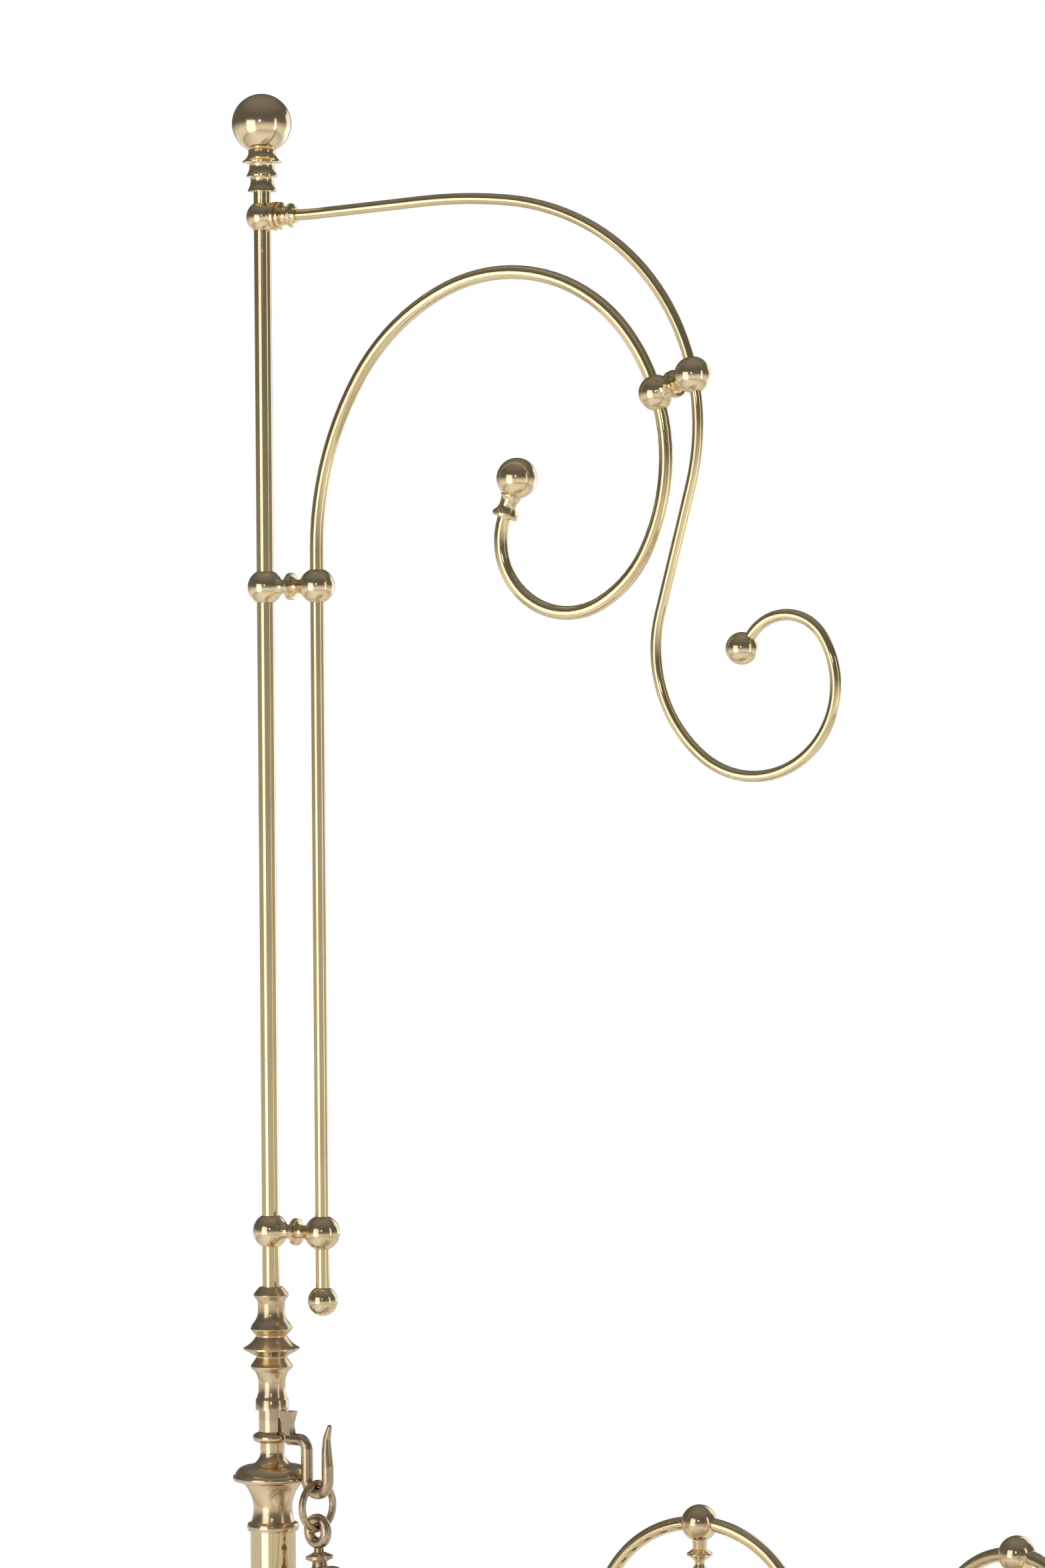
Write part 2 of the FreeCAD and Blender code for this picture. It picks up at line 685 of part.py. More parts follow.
post_x = canopy_x.value
arm_heading = cell.canopy_turn.value + cell.arm_turn.value
scroll_heading = cell.canopy_turn.value + cell.scroll_turn.value
connector_ahead = level(cell.canopy_turn.value)
pitch = cell.connector_pitch
scroll_foot = Vector(post_x, 0, 0) + connector_ahead * pitch.value
scroll_radius = cell.scroll_diameter / 2.0
arm_radius = cell.arm_diameter / 2.0
wall = cell.tube_wall.value

# the arm: out along the top, over and down, through the cross ball and up into a curl
ARM_SEAT = 9.0
arm_start = (cell.arm_collar_length.value - ARM_SEAT + gap.value, 0.0)
arm = Bend(Vector(post_x, 0, arm_level.value), level(arm_heading), UP, arm_start)
arm.line(ARM_SEAT + 3.0)
arm.arc(400.0, 3.0)
arm.line(108.0)
arm.arc(510.0, -10.0)
arm.arc(233.0, -20.0)
arm.arc(207.0, -50.8)
arm_cross = arm.place()
arm_cross_along = arm.direction()
arm.arc(207.0, -27.7)
arm.line(118.3)
arm.arc(121.5, 67.7)
arm.arc(80.6, 159.6)
arm.arc(42.3, 110.0)
arm.line(12.0)

# the scroll: straight up beside the pole, over in a wide hook and in to its own curl
scroll = Bend(scroll_foot, level(scroll_heading), UP, (0.0, scroll_foot_level.value), 90.0)
scroll.line(cell.scroll_rise.value)
scroll.arc(306.0, -31.3)
scroll.arc(197.5, -35.1)
scroll.arc(146.8, -76.1)
scroll.arc(187.1, -19.7)
scroll_cross = scroll.place()
scroll_cross_along = scroll.direction()
scroll.arc(187.1, -44.5)
scroll.arc(109.5, -34.7)
scroll.arc(65.8, -138.2)
scroll.line(PLUG_LENGTH)

shaped("canopy_arm", arm.tube(arm_radius.value, wall))
shaped("scroll_tube", scroll.tube(scroll_radius.value, wall))


def put_at(item, point, rotation=None):
    """Place a sub-part at a worked-out point on a bent tube."""
    item.Placement = Placement(point, rotation or Rotation())
    return item


length = cell.arm_collar_length
bead = cell.arm_collar_radius
neck = bead * 0.64
half = (bead * bead - neck * neck).root()
outline = [(0, -bead, bead - (bead * (bead - half) / 2.0).root()), (neck, half, 0)]
outline += moulding(bead, length, ARM_COLLAR_OUTLINE)
arm_hole = arm_radius + gap
outline += [(arm_hole, length, 0), (arm_hole, length - ARM_SEAT, 0), (0, length - ARM_SEAT, 0)]
blank = turned("arm_collar_blank", outline)
move(blank, (canopy_x, 0, arm_level), facing(level(arm_heading), UP))
place = (canopy_x, 0, arm_level - bead * 2.0)
through = rod("arm_collar_bore", pole_hole, bead * 4.0, place)
keep("arm_collar", drilled("arm_collar", blank, [through]))

stud_bore = cell.spool_stud_radius + gap


def drilled_ball(name, bore, point, tube_along, spool_along):
    """A connector ball, bored for its tube and drilled from one side for the spool's stud."""
    blank = ball(name + "_blank", cell.connector_ball_radius, bore)
    put_at(blank, point, facing(tube_along, spool_along))
    turn = facing(spool_along, tube_along)
    drill = rod(name + "_drill", stud_bore, cell.connector_ball_radius, tuple(point), turn)
    return keep(name, drilled(name, blank, [drill]))


def mirrored(half_outline):
    """A whole outline from its half below height 0."""
    sags = [0] + [sag for radius, height, sag in half_outline[:-1]]
    other = [(side[0], -as_size(side[1]), sag) for side, sag in zip(half_outline, sags)]
    return half_outline + other[::-1]


def spool(name, start, finish):
    """The disc and two flared necks between a pair of balls, with a stud into each."""
    middle = pitch / 2.0
    seat = cell.connector_ball_radius + gap
    stud = cell.spool_stud_radius
    wide = cell.connector_ball_radius * 0.61
    inner = middle - (seat * seat - stud * stud).root()
    outer = middle - (seat * seat - wide * wide).root()
    chord = (wide - stud) * (wide - stud) + (outer - inner) * (outer - inner)
    hollow = seat - (seat * seat - chord / 4.0).root()
    disc = cell.spool_disc_radius
    half_outline = [
        (0, -inner - cell.spool_stud_length, 0), (stud, -inner - cell.spool_stud_length, 0),
        (stud, -inner, -hollow), (wide, -outer, -1.2), (disc * 0.5, outer * -0.45, 0),
        (disc * 0.52, outer * -0.3, -0.6), (disc * 0.93, outer * -0.15, 0), (disc, outer * -0.1, 0),
    ]
    body = turned(name, mirrored(half_outline))
    keep(name, put_at(body, (start + finish) * 0.5, facing(finish - start, UP)))


scroll_bore = scroll_radius + gap
for name, drop in (("low", cell.connector_low_drop), ("mid", cell.connector_mid_drop)):
    pole_point = Vector(post_x, 0, (pole_high - drop).value)
    scroll_point = pole_point + connector_ahead * pitch.value
    drilled_ball(name + "_pole_ball", pole_hole, pole_point, UP, connector_ahead)
    drilled_ball(name + "_scroll_ball", scroll_bore, scroll_point, UP, connector_ahead * -1)
    spool(name + "_spool", pole_point, scroll_point)

# the cross connector is bored along the bent tubes themselves
reach_across = (arm_cross - scroll_cross).normalize()
middle = (arm_cross + scroll_cross) * 0.5
half_pitch = reach_across * (pitch.value / 2.0)
spool("cross_spool", middle - half_pitch, middle + half_pitch)
for name, path, radius, sign in (("scroll", scroll, scroll_radius, -1), ("arm", arm, arm_radius, 1)):
    centre = middle + half_pitch * sign
    solid = Part.makeSphere(cell.connector_ball_radius.value, centre)
    solid = solid.cut(path.bar(radius.value + gap.value))
    stud = Part.makeCylinder(stud_bore.value, cell.connector_ball_radius.value, centre, reach_across * -sign)
    shaped("cross_%s_ball" % name, solid.cut(stud))

foot_ball = ball_on_stem("scroll_foot_ball", cell.scroll_foot_ball_radius, scroll_bore, PLUG_LENGTH)
crown = cell.scroll_foot_ball_radius
half = (crown * crown - scroll_bore * scroll_bore).root()
foot_point = scroll_foot + UP * (scroll_foot_level + PLUG_LENGTH - half - gap).value
keep("scroll_foot_ball", put_at(foot_ball, foot_point, facing(UP * -1, AHEAD)))

crown = cell.arm_end_ball_radius
end_ball = ball_on_stem("arm_end_ball", crown, arm_hole, ARM_SEAT)
half = (crown * crown - arm_hole * arm_hole).root()
point = arm.place() + arm.direction() * (half.value - ARM_SEAT + gap.value)
keep("arm_end_ball", put_at(end_ball, point, facing(arm.direction(), ACROSS)))

SCROLL_FINIAL_OUTLINE = [
    (0.6, 0.0, 0), (0.65, 0.03, 0), (0.65, 0.07, -0.02), (0.44, 0.22, 0), (0.44, 0.27, -0.006),
    (0.52, 0.36, 0),
]
crown = cell.scroll_end_ball_radius
seat = crown * 0.52
half = (crown * crown - seat * seat).root()
length = cell.scroll_finial_height
outline = moulding(crown, length, SCROLL_FINIAL_OUTLINE)
outline += [(seat, length - crown - half, crown - (crown * (crown - half) / 2.0).root())]
outline += [(0, length, 0), (0, PLUG_LENGTH + gap, 0), (scroll_bore, PLUG_LENGTH + gap, 0)]
finial = turned("scroll_finial", [(scroll_bore, 0, 0)] + outline)
point = scroll.place() - scroll.direction() * PLUG_LENGTH
keep("scroll_finial", put_at(finial, point, facing(scroll.direction(), ACROSS)))

# ---------------------------------------------------------------- basket

doc.recompute()
rail_radius = cell.rail_diameter.value / 2.0
rail_level = eye_centre - cell.rail_drop.value
bottom_level = rail_level - cell.basket_depth.value
half_length = cell.post_spacing.value / 2.0 - cell.basket_end_gap.value


def basket_plan(height):
    """The closed line of a rail: bowed sides and ends joined by round corners."""
    half_width = cell.basket_width.value / 2.0
    side = cell.side_bow_radius.value
    end = cell.end_bow_radius.value
    corner = cell.corner_radius.value
    side_centre = half_width - side
    end_centre = half_length - end
    # the corner's centre lies where two circles about the other two centres meet
    apart = math.hypot(end_centre, side_centre)
    near = side - corner
    far = end - corner
    along = (near * near - far * far + apart * apart) / (2.0 * apart)
    off = math.sqrt(near * near - along * along)
    ahead = (end_centre / apart, -side_centre / apart)
    corner_x = ahead[0] * along + ahead[1] * off
    corner_y = side_centre + ahead[1] * along - ahead[0] * off
    side_turn = math.degrees(math.atan2(corner_x, corner_y - side_centre))
    end_turn = math.degrees(math.atan2(corner_y, corner_x - end_centre))
    corner_turn = 90.0 - side_turn - end_turn
    path = Bend(Vector(0, 0, height), AHEAD, ACROSS, (0.0, -half_width), 0.0)
    for quarter in range(2):
        path.arc(side, side_turn)
        path.arc(corner, corner_turn)
        path.arc(end, 2.0 * end_turn)
        path.arc(corner, corner_turn)
        path.arc(side, side_turn)
    return path


rails = {}
for name, height in (("top_rail", rail_level), ("bottom_rail", bottom_level)):
    plan = basket_plan(height)
    rails[name] = plan.bar(rail_radius)
    shaped(name, plan.tube(rail_radius, wall))
both_rails = rails["top_rail"].fuse(rails["bottom_rail"])

bars = []
for point in basket_plan(bottom_level).wire().discretize(Number=BALUSTER_COUNT + 1)[:-1]:
    bar = Part.makeCylinder(cell.baluster_diameter.value / 2.0, cell.basket_depth.value, point)
    bars.append(bar.cut(both_rails))
shaped("balusters", Part.makeCompound(bars))

SLAT_MARGIN = 95.0
slat = (cell.slat_width.value, cell.basket_width.value, cell.slat_thickness.value)
slat_level = bottom_level - slat[2] / 2.0
slat_pitch = 2.0 * (half_length - SLAT_MARGIN) / (SLAT_COUNT - 1)
floor_area = Part.Face(basket_plan(slat_level).wire()).extrude(UP * slat[2])
slats = []
for number in range(SLAT_COUNT):
    centre = (number - (SLAT_COUNT - 1) / 2.0) * slat_pitch
    low = Vector(centre - slat[0] / 2.0, slat[1] / -2.0, slat_level)
    slats.append(Part.makeBox(*slat, low).common(floor_area).cut(rails["bottom_rail"]))
shaped("base_slats", Part.makeCompound(slats))


def arch_tube(name, path):
    """A bent tube that stands on the top rail, notched to sit on it."""
    return shaped(name, path.tube(rail_radius, wall).cut(rails["top_rail"]))


DROP_OUTLINE = [
    (0.9, 0.0, 0), (0.9, 0.1, 0), (0.6, 0.14, 0), (0.5, 0.45, 0), (0.62, 0.6, 0), (0.8, 0.63, 0),
    (1.1, 0.665, 0.01), (1.1, 0.7, 0), (0.66, 0.74, -0.01), (0.66, 0.8, 0), (1.4, 0.845, 0.01),
    (1.4, 0.875, 0), (0.8, 0.91, 0), (0.85, 1.0, 0),
]
crown = cell.hoop_ball_radius
hoop_radius = cell.hoop_radius.value
hoop_half_spacing = cell.hoop_spacing.value / 2.0
side_bow = cell.side_bow_radius.value
lean_out = math.asin(hoop_half_spacing / side_bow)
hoop_across = cell.basket_width.value / 2.0 - side_bow + side_bow * math.cos(lean_out)
drop_height = cell.hoop_radius - crown * 0.9
drop_outline = [(0, 0, 0)] + moulding(cell.hoop_spindle_radius, drop_height, DROP_OUTLINE)
drop_outline += [(0, drop_height, 0)]


def hoop(number, base, ahead):
    """A half-round hoop on the side rail with a ball at its crown and a turned drop under it."""
    path = Bend(base, ahead, UP, (-hoop_radius, 0.0), 90.0)
    path.arc(hoop_radius, -180.0)
    arch_tube("side_hoop_%d" % number, path)
    blank = put_at(turned("hoop_drop_blank_%d" % number, drop_outline), base)
    doc.recompute()
    top = Part.makeSphere(crown.value, base + UP * hoop_radius)
    solid = blank.Shape.fuse(top).removeSplitter()
    solid = solid.cut(path.bar(rail_radius + gap.value)).cut(rails["top_rail"])
    shaped("hoop_drop_%d" % number, solid)


number = 0
for sign in SIDES.values():
    for shift in (-1, 1):
        number += 1
        base = Vector(hoop_half_spacing * shift, hoop_across * sign, rail_level)
        hoop(number, base, level(math.degrees(lean_out) * -shift * sign))

# the end arches carry the eyes, which lean a little towards the rings
EYE_STEM_OUTLINE = [
    (0.0, 0.0), (10.0, 0.0), (7.4, 0.28), (6.8, 0.44), (12.6, 0.56), (12.6, 0.68), (5.0, 0.83),
    (4.4, 1.0), (0.0, 1.0),
]
STEM_FOOT = 13.0
EYE_SINK = 1.0


def end_arch(end, base):
    """A flat crown between two tight shoulders of one radius."""
    arch_half = cell.end_arch_width.value / 2.0
    crown_radius = cell.end_arch_crown_radius.value
    rise = cell.end_arch_rise.value
    shoulder = rise * 0.6
    flat = math.degrees(math.asin((arch_half - shoulder) / (crown_radius - shoulder)))
    crown_drop = (crown_radius - shoulder) * (1.0 - math.cos(math.radians(flat)))
    arch = Bend(base, ACROSS, UP, (-arch_half, 0.0), 90.0)
    arch.line(rise - crown_drop - shoulder)
    arch.arc(shoulder, flat - 90.0)
    arch.arc(crown_radius, -2.0 * flat)
    arch.arc(shoulder, flat - 90.0)
    arch.line(rise - crown_drop - shoulder)
    arch_tube("end_arch_" + end, arch)
    return arch


def eye_finial(end, top, eye, arch):
    """A ball on the arch, a flanged stem and the flat-sided eye, all in one casting."""
    axis = eye - top
    bend = cell.eye_bend_radius.value
    eye_wire = cell.eye_wire_radius.value
    loop = Bend(Vector(0, 0, axis.Length), AHEAD, UP, (bend, -eye_half), 90.0)
    for side in range(2):
        loop.line(2.0 * eye_half)
        loop.arc(bend, 180.0)
    lift = axis.Length - eye_half - bend - eye_wire + EYE_SINK - STEM_FOOT
    points = [Vector(radius, 0, STEM_FOOT + share * lift) for radius, share in EYE_STEM_OUTLINE]
    stem = Part.Face(Part.makePolygon(points + points[:1])).revolve(Vector(), UP, 360.0)
    ball_top = Part.makeSphere(cell.eye_ball_radius.value)
    solid = stem.multiFuse([ball_top, loop.bar(eye_wire)]).removeSplitter()
    solid = solid.transformed(Placement(top, facing(axis, AHEAD)).toMatrix())
    shaped("eye_finial_" + end, solid.cut(arch.bar(rail_radius + gap.value)))


end_bow = cell.end_bow_radius.value
arch_across = half_length - end_bow
arch_across += math.sqrt(end_bow ** 2 - (cell.end_arch_width.value / 2.0) ** 2)
for end, sign in ENDS.items():
    base = Vector(arch_across * sign, 0, rail_level)
    arch = end_arch(end, base)
    eye_point = Vector((cell.post_spacing.value / 2.0 - hook_across) * sign, 0, eye_centre)
    eye_finial(end, base + UP * cell.end_arch_rise.value, eye_point, arch)

# ---------------------------------------------------------------- checks and files

doc.recompute()
for item in doc.Objects:
    if "Invalid" in item.State or "Error" in item.State:
        raise RuntimeError("%s did not build: %s" % (item.Name, item.State))
os.makedirs("parts", exist_ok=True)
for name, item in NODES.items():
    if item.Shape.isNull() or not item.Shape.isValid() or not item.Shape.Solids:
        raise RuntimeError("%s has no valid solid" % name)
    item.Shape.exportStep(os.path.join("parts", name + ".step"))
print("%d nodes written" % len(NODES))
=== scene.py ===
import math

import bpy
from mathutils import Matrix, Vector


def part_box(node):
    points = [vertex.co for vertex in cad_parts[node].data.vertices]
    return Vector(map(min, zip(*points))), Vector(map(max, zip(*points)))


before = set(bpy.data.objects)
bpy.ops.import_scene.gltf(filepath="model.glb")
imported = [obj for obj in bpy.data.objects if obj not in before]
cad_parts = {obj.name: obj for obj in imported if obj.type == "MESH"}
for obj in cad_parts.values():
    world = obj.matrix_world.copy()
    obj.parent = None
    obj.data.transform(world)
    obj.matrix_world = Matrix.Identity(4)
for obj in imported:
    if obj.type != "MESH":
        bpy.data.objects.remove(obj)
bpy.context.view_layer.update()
bpy.ops.object.select_all(action="DESELECT")

# ---------------------------------------------------------------------------- camera
# A long lens a little above the hook, level with the middle of the canopy pole, looking
# across the cradle from the foot end's side. It frames the pole and the near corner.
pole_low, pole_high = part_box("canopy_pole")
post_x = (pole_low.x + pole_high.x) / 2.0
LOOK_TURN = math.radians(40.0)
DISTANCE = 5.5575
EYE_HEIGHT = 1.5567
FRAME_CENTRE = 0.2371
FOCAL_LENGTH = 137.76
SENSOR_HEIGHT = 36.0
TILT_DOWN = math.radians(0.484)
ROLL = math.radians(0.45)
lens_data = bpy.data.cameras.new("camera")
lens_data.sensor_fit = "VERTICAL"
lens_data.sensor_height = SENSOR_HEIGHT
lens_data.lens = FOCAL_LENGTH
camera = bpy.data.objects.new("camera", lens_data)
bpy.context.scene.collection.objects.link(camera)
rightward = Vector((math.cos(LOOK_TURN), math.sin(LOOK_TURN), 0.0))
backward = Vector((math.sin(LOOK_TURN), -math.cos(LOOK_TURN), 0.0))
camera.location = Vector((post_x, 0.0, EYE_HEIGHT)) + rightward * FRAME_CENTRE + backward * DISTANCE
camera.rotation_euler = (math.radians(90.0) - TILT_DOWN, ROLL, LOOK_TURN)
bpy.context.scene.camera = camera

# ---------------------------------------------------------------------------- studio
# A pale round floor under the cradle, a white surround and soft boxes: a wide one to the
# left, a narrow one to the right, a small one by the lens and a broad one at the back. The
# overhead fill lights the floor and leaves no patch in the polished brass.
FLOOR_RADIUS = 3.6
FLOOR_DROP = 0.0005
bpy.context.scene.view_settings.view_transform = "Standard"
floor_place = (0.0, 0.0, -FLOOR_DROP)
bpy.ops.mesh.primitive_circle_add(
    vertices=128, radius=FLOOR_RADIUS, fill_type="NGON", location=floor_place
)
floor = bpy.context.object
floor.name = "floor"
paper = bpy.data.materials.new("pale_paper_floor")
paper.use_nodes = True
paper_shader = paper.node_tree.nodes["Principled BSDF"]
paper_shader.inputs["Base Color"].default_value = (0.86, 0.86, 0.855, 1.0)
paper_shader.inputs["Roughness"].default_value = 0.9
floor.data.materials.append(paper)

SOFT_BOXES = [
    # name, turn from the camera, height, distance, width, length, watts, shows in the brass
    ("left_box", -49.0, 1.35, 3.0, 1.9, 2.5, 18.0, True),
    ("lens_box", -10.0, 2.6, 4.4, 0.26, 0.26, 3.4, True),
    ("right_box", 60.0, 1.7, 3.0, 0.4, 2.4, 5.0, True),
    ("back_box", 143.0, 2.0, 3.4, 2.4, 2.6, 20.0, True),
    ("top_fill", 0.0, 4.2, 0.6, 2.2, 2.2, 150.0, False),
]
aim = Vector((0.0, 0.0, 1.3))  # metres, above the basket's middle
for name, turn, height, away, width, length, watts, shows in SOFT_BOXES:
    box_data = bpy.data.lights.new(name, "AREA")
    box_data.shape = "RECTANGLE"
    box_data.size = width
    box_data.size_y = length
    box_data.energy = watts
    angle = LOOK_TURN + math.radians(turn - 90.0)
    lamp = bpy.data.objects.new(name, box_data)
    bpy.context.scene.collection.objects.link(lamp)
    lamp.location = (aim.x + away * math.cos(angle), aim.y + away * math.sin(angle), height)
    lamp.rotation_euler = (aim - lamp.location).to_track_quat("-Z", "Y").to_euler()
    lamp.visible_glossy = shows

BACKDROP_STRENGTH = 1.02
world = bpy.data.worlds.new("studio")
world.use_nodes = True
bpy.context.scene.world = world
surround = world.node_tree
surround.nodes.clear()
direction = surround.nodes.new("ShaderNodeTexCoord")
parts = surround.nodes.new("ShaderNodeSeparateXYZ")
surround.links.new(direction.outputs["Generated"], parts.inputs[0])
height_ramp = surround.nodes.new("ShaderNodeMapRange")
height_ramp.inputs["From Min"].default_value = -1.0
surround.links.new(parts.outputs["Z"], height_ramp.inputs["Value"])
bands = surround.nodes.new("ShaderNodeValToRGB")
surround.links.new(height_ramp.outputs[0], bands.inputs[0])
# brightness of the room from straight down, through the horizon, to straight up
stops = [(0.0, 0.8), (0.38, 0.85), (0.47, 0.5), (0.54, 0.14), (0.75, 0.12), (1.0, 0.24)]
while len(bands.color_ramp.elements) < len(stops):
    bands.color_ramp.elements.new(0.5)
for element, (place, shade) in zip(bands.color_ramp.elements, stops):
    element.position = place
    element.color = (shade, shade * 0.99, shade * 0.98, 1.0)
room = surround.nodes.new("ShaderNodeBackground")
surround.links.new(bands.outputs[0], room.inputs["Color"])
backdrop = surround.nodes.new("ShaderNodeBackground")
backdrop.inputs["Color"].default_value = (1.0, 1.0, 1.0, 1.0)
backdrop.inputs["Strength"].default_value = BACKDROP_STRENGTH
ray = surround.nodes.new("ShaderNodeLightPath")
choice = surround.nodes.new("ShaderNodeMixShader")
surround.links.new(ray.outputs["Is Camera Ray"], choice.inputs[0])
surround.links.new(room.outputs[0], choice.inputs[1])
surround.links.new(backdrop.outputs[0], choice.inputs[2])
world_output = surround.nodes.new("ShaderNodeOutputWorld")
surround.links.new(choice.outputs[0], world_output.inputs["Surface"])

# ---------------------------------------------------------------------------- drawn tubes
# The pole, the two scrolled tubes, the rails, hoops and arches are drawn brass tube, bent
# cold and polished. The lacquer has yellowed in clouds and worn to fine specks.


def new_group(name, inputs, outputs):
    """An empty node group with its named sockets; gives back its tree and its two ends."""
    tree = bpy.data.node_groups.new(name, "ShaderNodeTree")
    for label, kind, value in inputs:
        socket = tree.interface.new_socket(label, in_out="INPUT", socket_type=kind)
        socket.default_value = value
    for label, kind in outputs:
        tree.interface.new_socket(label, in_out="OUTPUT", socket_type=kind)
    return tree, tree.nodes.new("NodeGroupInput"), tree.nodes.new("NodeGroupOutput")


def noise(tree, vector, scale, detail, roughness=0.55):
    """A noise texture that reads the given vector."""
    node = tree.nodes.new("ShaderNodeTexNoise")
    node.inputs["Scale"].default_value = scale
    node.inputs["Detail"].default_value = detail
    node.inputs["Roughness"].default_value = roughness
    tree.links.new(vector, node.inputs["Vector"])
    return node


def squeeze(tree, value, low, high, to_low=0.0, to_high=1.0):
    """A value limited to low..high and spread over a new range."""
    node = tree.nodes.new("ShaderNodeMapRange")
    node.inputs["From Min"].default_value = low
    node.inputs["From Max"].default_value = high
    node.inputs["To Min"].default_value = to_low
    node.inputs["To Max"].default_value = to_high
    tree.links.new(value, node.inputs["Value"])
    return node


# clouds of browned lacquer, as a mask and as a mixed colour
yellowing, ends, out = new_group(
    "Yellowed lacquer",
    [
        ("Vector", "NodeSocketVector", (0.0, 0.0, 0.0)),
        ("Clean", "NodeSocketColor", (0.8, 0.66, 0.4, 1.0)),
        ("Browned", "NodeSocketColor", (0.5, 0.38, 0.2, 1.0)),
        ("Amount", "NodeSocketFloat", 0.5),
    ],
    [("Colour", "NodeSocketColor"), ("Mask", "NodeSocketFloat")],
)
broad = noise(yellowing, ends.outputs["Vector"], 14.0, 5.0)
fine = noise(yellowing, ends.outputs["Vector"], 95.0, 4.0, 0.65)
blended = yellowing.nodes.new("ShaderNodeMath")
blended.operation = "MULTIPLY"
clouds = squeeze(yellowing, broad.outputs["Fac"], 0.35, 0.68)
yellowing.links.new(clouds.outputs[0], blended.inputs[0])
mottle = squeeze(yellowing, fine.outputs["Fac"], 0.3, 0.7, 0.45, 1.0)
yellowing.links.new(mottle.outputs[0], blended.inputs[1])
scaled = yellowing.nodes.new("ShaderNodeMath")
scaled.operation = "MULTIPLY"
yellowing.links.new(blended.outputs[0], scaled.inputs[0])
yellowing.links.new(ends.outputs["Amount"], scaled.inputs[1])
tint = yellowing.nodes.new("ShaderNodeMix")
tint.data_type = "RGBA"
yellowing.links.new(scaled.outputs[0], tint.inputs["Factor"])
yellowing.links.new(ends.outputs["Clean"], tint.inputs["A"])
yellowing.links.new(ends.outputs["Browned"], tint.inputs["B"])
yellowing.links.new(tint.outputs["Result"], out.inputs["Colour"])
yellowing.links.new(scaled.outputs[0], out.inputs["Mask"])

# pin-prick specks and hair scratches, as masks
handling, ends, out = new_group(
    "Handling wear",
    [
        ("Vector", "NodeSocketVector", (0.0, 0.0, 0.0)),
        ("Speck scale", "NodeSocketFloat", 260.0),
        ("Speck share", "NodeSocketFloat", 0.12),
        ("Scratch share", "NodeSocketFloat", 0.5),
    ],
    [("Specks", "NodeSocketFloat"), ("Scratches", "NodeSocketFloat")],
)
cells = handling.nodes.new("ShaderNodeTexVoronoi")
handling.links.new(ends.outputs["Vector"], cells.inputs["Vector"])
handling.links.new(ends.outputs["Speck scale"], cells.inputs["Scale"])
dots = handling.nodes.new("ShaderNodeMath")
dots.operation = "LESS_THAN"
handling.links.new(cells.outputs["Distance"], dots.inputs[0])
handling.links.new(ends.outputs["Speck share"], dots.inputs[1])
thin_out = noise(handling, ends.outputs["Vector"], 30.0, 2.0)
sparse = handling.nodes.new("ShaderNodeMath")
sparse.operation = "MULTIPLY"
handling.links.new(dots.outputs[0], sparse.inputs[0])
patches = squeeze(handling, thin_out.outputs["Fac"], 0.52, 0.6)
handling.links.new(patches.outputs[0], sparse.inputs[1])
handling.links.new(sparse.outputs[0], out.inputs["Specks"])
stretch = handling.nodes.new("ShaderNodeMapping")
stretch.inputs["Rotation"].default_value = (0.5, 0.9, 0.3)
stretch.inputs["Scale"].default_value = (60.0, 900.0, 240.0)
handling.links.new(ends.outputs["Vector"], stretch.inputs["Vector"])
hairs = noise(handling, stretch.outputs[0], 1.0, 3.0)
lines = handling.nodes.new("ShaderNodeMath")
lines.operation = "MULTIPLY"
handling.links.new(squeeze(handling, hairs.outputs["Fac"], 0.62, 0.72).outputs[0], lines.inputs[0])
handling.links.new(ends.outputs["Scratch share"], lines.inputs[1])
handling.links.new(lines.outputs[0], out.inputs["Scratches"])


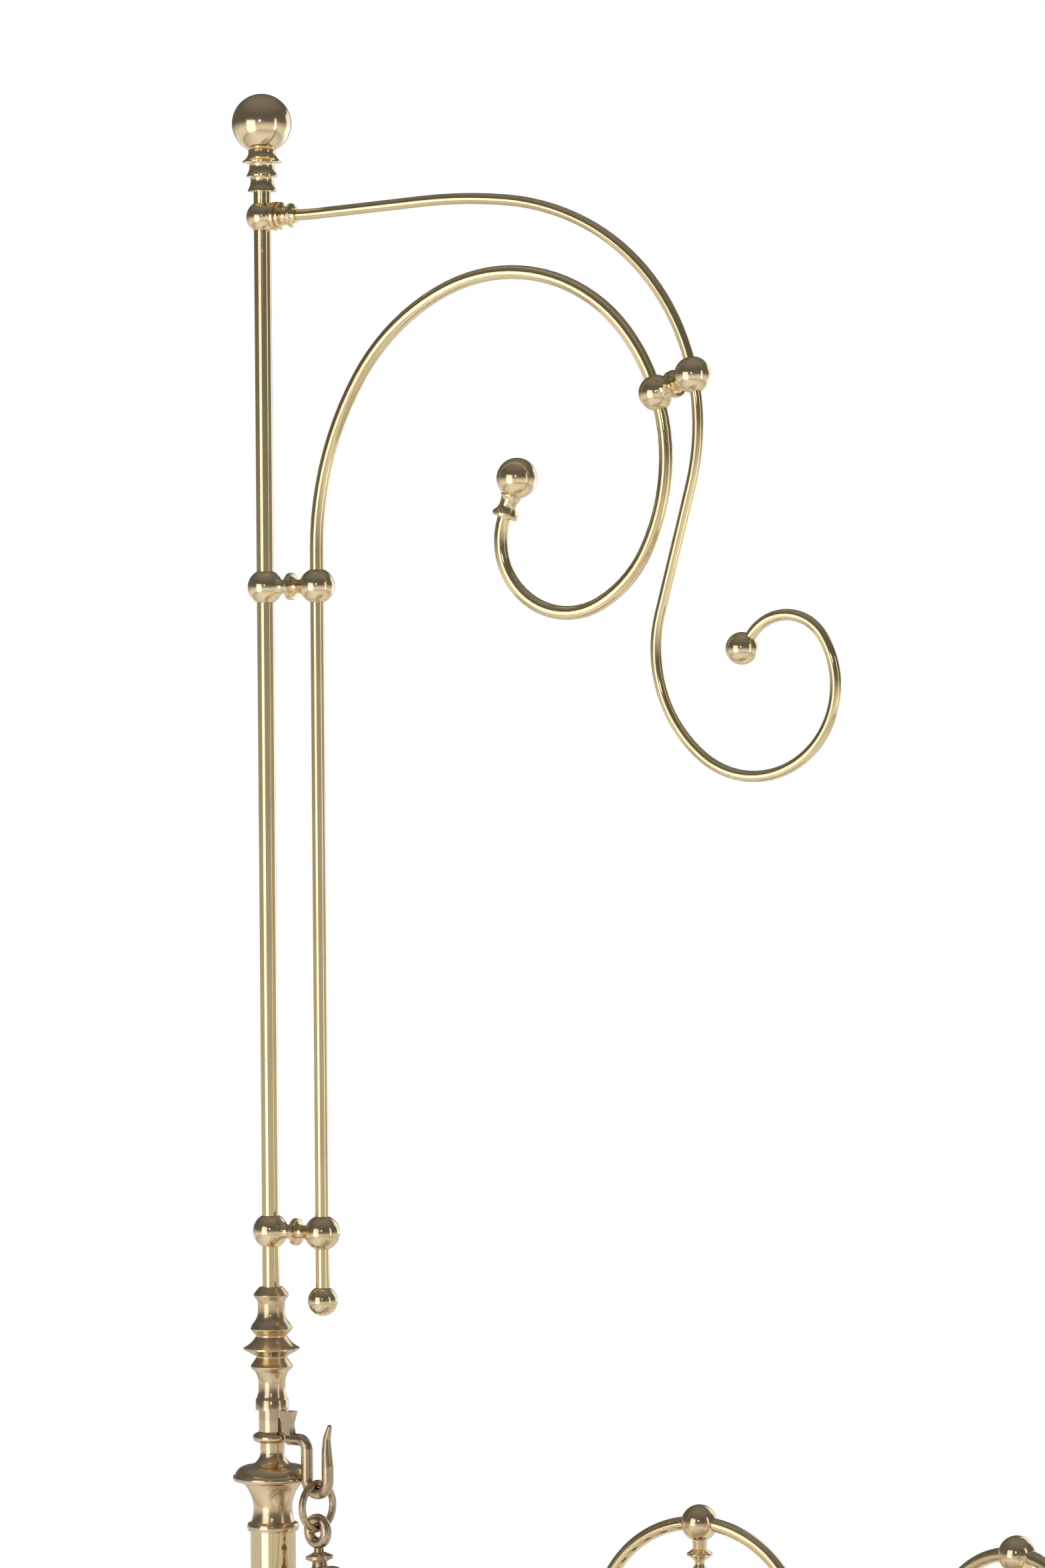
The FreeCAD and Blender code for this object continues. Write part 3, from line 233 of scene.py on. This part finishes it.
def brass(name, clean, browned, amount, gloss, dull, dents=0.00002, hollow_shade_and_dirt=0.18, coat=0.1):
    """A brass finish: browned clouds, specks, scratches, and painted shade in the hollows that also
    stands for grime.
    """
    material = bpy.data.materials.new(name)
    material.use_nodes = True
    tree = material.node_tree
    shader = tree.nodes["Principled BSDF"]
    shader.inputs["Metallic"].default_value = 1.0
    shader.inputs["Coat Weight"].default_value = coat
    shader.inputs["Coat Roughness"].default_value = 0.06
    where = tree.nodes.new("ShaderNodeTexCoord").outputs["Object"]
    cloud = tree.nodes.new("ShaderNodeGroup")
    cloud.node_tree = yellowing
    cloud.inputs["Clean"].default_value = (*clean, 1.0)
    cloud.inputs["Browned"].default_value = (*browned, 1.0)
    cloud.inputs["Amount"].default_value = amount
    tree.links.new(where, cloud.inputs["Vector"])
    wear = tree.nodes.new("ShaderNodeGroup")
    wear.node_tree = handling
    tree.links.new(where, wear.inputs["Vector"])

    # Painted shade: an occlusion mask darkens the colour where parts meet and in tight corners; it
    # stands partly for grime lodged there and partly for the shade that falls there.
    hollows = tree.nodes.new("ShaderNodeAmbientOcclusion")
    hollows.samples = 12
    hollows.inputs["Distance"].default_value = 0.004
    dirt_and_shade = squeeze(tree, hollows.outputs["AO"], 0.25, 0.8, hollow_shade_and_dirt, 0.0)
    specks_dirt_and_shade = tree.nodes.new("ShaderNodeMath")
    specks_dirt_and_shade.operation = "MAXIMUM"
    tree.links.new(dirt_and_shade.outputs[0], specks_dirt_and_shade.inputs[0])
    specks = squeeze(tree, wear.outputs["Specks"], 0.0, 1.0, 0.0, 0.6)
    tree.links.new(specks.outputs[0], specks_dirt_and_shade.inputs[1])
    # The dark brown mixed in here colours the specks and also the painted shade in the hollows.
    stain_and_shade = tree.nodes.new("ShaderNodeMix")
    stain_and_shade.data_type = "RGBA"
    stain_and_shade.inputs["B"].default_value = (0.13, 0.095, 0.06, 1.0)
    tree.links.new(specks_dirt_and_shade.outputs[0], stain_and_shade.inputs["Factor"])
    tree.links.new(cloud.outputs["Colour"], stain_and_shade.inputs["A"])
    tree.links.new(stain_and_shade.outputs["Result"], shader.inputs["Base Color"])

    haze = squeeze(tree, cloud.outputs["Mask"], 0.0, 1.0, gloss, dull)
    rough = tree.nodes.new("ShaderNodeMath")
    rough.operation = "ADD"
    tree.links.new(haze.outputs[0], rough.inputs[0])
    scratched = squeeze(tree, wear.outputs["Scratches"], 0.0, 1.0, 0.0, 0.18)
    tree.links.new(scratched.outputs[0], rough.inputs[1])
    tree.links.new(rough.outputs[0], shader.inputs["Roughness"])

    uneven = noise(tree, where, 120.0, 3.0)
    dent = tree.nodes.new("ShaderNodeBump")
    dent.inputs["Strength"].default_value = 0.5
    dent.inputs["Distance"].default_value = dents
    tree.links.new(uneven.outputs["Fac"], dent.inputs["Height"])
    tree.links.new(dent.outputs[0], shader.inputs["Normal"])
    return material


CREASE = math.radians(32.0)
WELD_GAP = 0.000002


def dress(names, material):
    """Puts a finish on CAD nodes and rounds their shading, except over sharp edges."""
    for name in names:
        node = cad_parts[name]
        node.data.materials.clear()
        node.data.materials.append(material)
        for face in node.data.polygons:
            face.use_smooth = True
        for stored in ("custom_normal", "sharp_edge"):
            if stored in node.data.attributes:
                node.data.attributes.remove(node.data.attributes[stored])
        weld = node.modifiers.new("weld", "WELD")
        weld.merge_threshold = WELD_GAP
        split = node.modifiers.new("sharp edges", "EDGE_SPLIT")
        split.split_angle = CREASE


tube_brass = brass(
    "polished_brass_tube", clean=(0.87, 0.72, 0.44), browned=(0.66, 0.51, 0.27),
    amount=0.55, gloss=0.07, dull=0.14,
)
dress(["canopy_pole", "canopy_arm", "scroll_tube"], tube_brass)
dress(["top_rail", "bottom_rail", "stretcher"], tube_brass)
dress(["side_hoop_%d" % number for number in range(1, 5)], tube_brass)
other_tubes = ("end_arch", "leg_", "post_tube")
dress([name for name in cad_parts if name.startswith(other_tubes)], tube_brass)

# ---------------------------------------------------------------------------- turned work
# Balls, spools and small finials are turned from bar and polished bright.
bright_brass = brass(
    "bright_turned_brass", clean=(0.87, 0.71, 0.45), browned=(0.68, 0.52, 0.3),
    amount=0.55, gloss=0.13, dull=0.2, dents=0.00001,
)
turned = [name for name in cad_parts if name.endswith(("_ball", "_spool"))]
turned += ["pole_finial_collar", "arm_collar", "scroll_finial"]
turned += ["hoop_drop_%d" % number for number in range(1, 5)]
dress(turned, bright_brass)

# ---------------------------------------------------------------------------- castings
# The socket, the caps, the bases and the feet are cast, turned and left with a satin skin
# that has browned and holds fine cross scratches.
cast_brass = brass(
    "satin_cast_brass", clean=(0.82, 0.65, 0.42), browned=(0.6, 0.44, 0.27),
    amount=0.65, gloss=0.2, dull=0.3, dents=0.00003, hollow_shade_and_dirt=0.22, coat=0.0,
)
dress(["canopy_socket", "plain_finial", "stretcher_knop"], cast_brass)
post_castings = ("post_cap", "post_base", "foot_")
dress([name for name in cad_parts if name.startswith(post_castings)], cast_brass)

# ---------------------------------------------------------------------------- ironmongery
# The hooks, the split rings and the eyes take the wear and are a duller, browner metal.
worn_bronze = brass(
    "worn_bronze", clean=(0.68, 0.54, 0.37), browned=(0.45, 0.33, 0.22),
    amount=0.7, gloss=0.2, dull=0.34, dents=0.00004, hollow_shade_and_dirt=0.25, coat=0.0,
)
hanging_pieces = ("hook_", "ring_", "eye_finial")
dress([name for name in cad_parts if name.startswith(hanging_pieces)], worn_bronze)

# ---------------------------------------------------------------------------- basket infill
# Thin rods between the rails and flat laths for the mattress, in plain lacquered brass.
rod_brass = brass(
    "lacquered_brass_rod", clean=(0.8, 0.66, 0.41), browned=(0.5, 0.38, 0.21),
    amount=0.6, gloss=0.12, dull=0.24,
)
dress(["balusters", "base_slats"], rod_brass)

# ---------------------------------------------------------------------------- tie rods
# Steel rods and nuts that hold each post to its base; only the nuts show, from below.
steel = brass(
    "plain_steel", clean=(0.5, 0.49, 0.47), browned=(0.3, 0.22, 0.16),
    amount=0.5, gloss=0.3, dull=0.45, dents=0.0001, hollow_shade_and_dirt=0.5, coat=0.0,
)
dress(["tie_rod_canopy_end", "tie_rod_plain_end", "tie_nuts"], steel)
